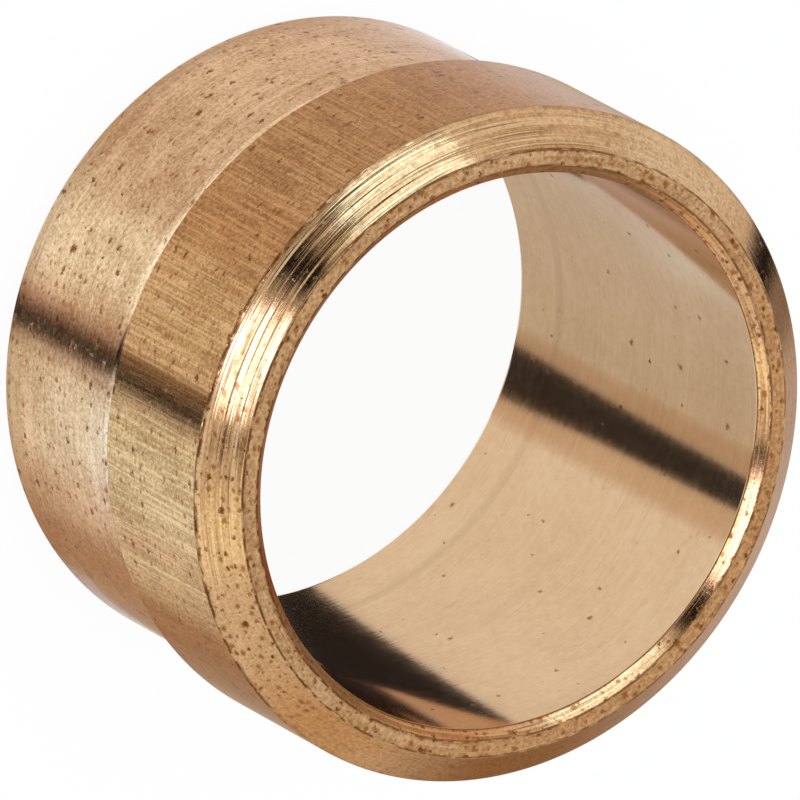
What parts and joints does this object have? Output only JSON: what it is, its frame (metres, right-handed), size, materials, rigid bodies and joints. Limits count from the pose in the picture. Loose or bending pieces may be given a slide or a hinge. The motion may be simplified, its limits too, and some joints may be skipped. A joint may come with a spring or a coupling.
{
  "type": "compression olive",
  "caption": "Turned brass ring with a plain bore, a raised collar and a wide front chamfer. A compression nut squeezes it onto a pipe to seal the joint.",
  "frame": {"origin": "centre of the plain rear end face, which the ring stands on", "axes": "+Z along the bore from the plain rear end to the chamfered front end; X and Y lie across the ring, which is alike all round"},
  "size_m": [0.0184, 0.0184, 0.0124],
  "materials": {
    "brass": "turned, drawn lengthways on the collar, lightly tarnished and pitted"
  },
  "bodies": {
    "root": {"olive_ring": "brass"}
  },
  "joints": []
}
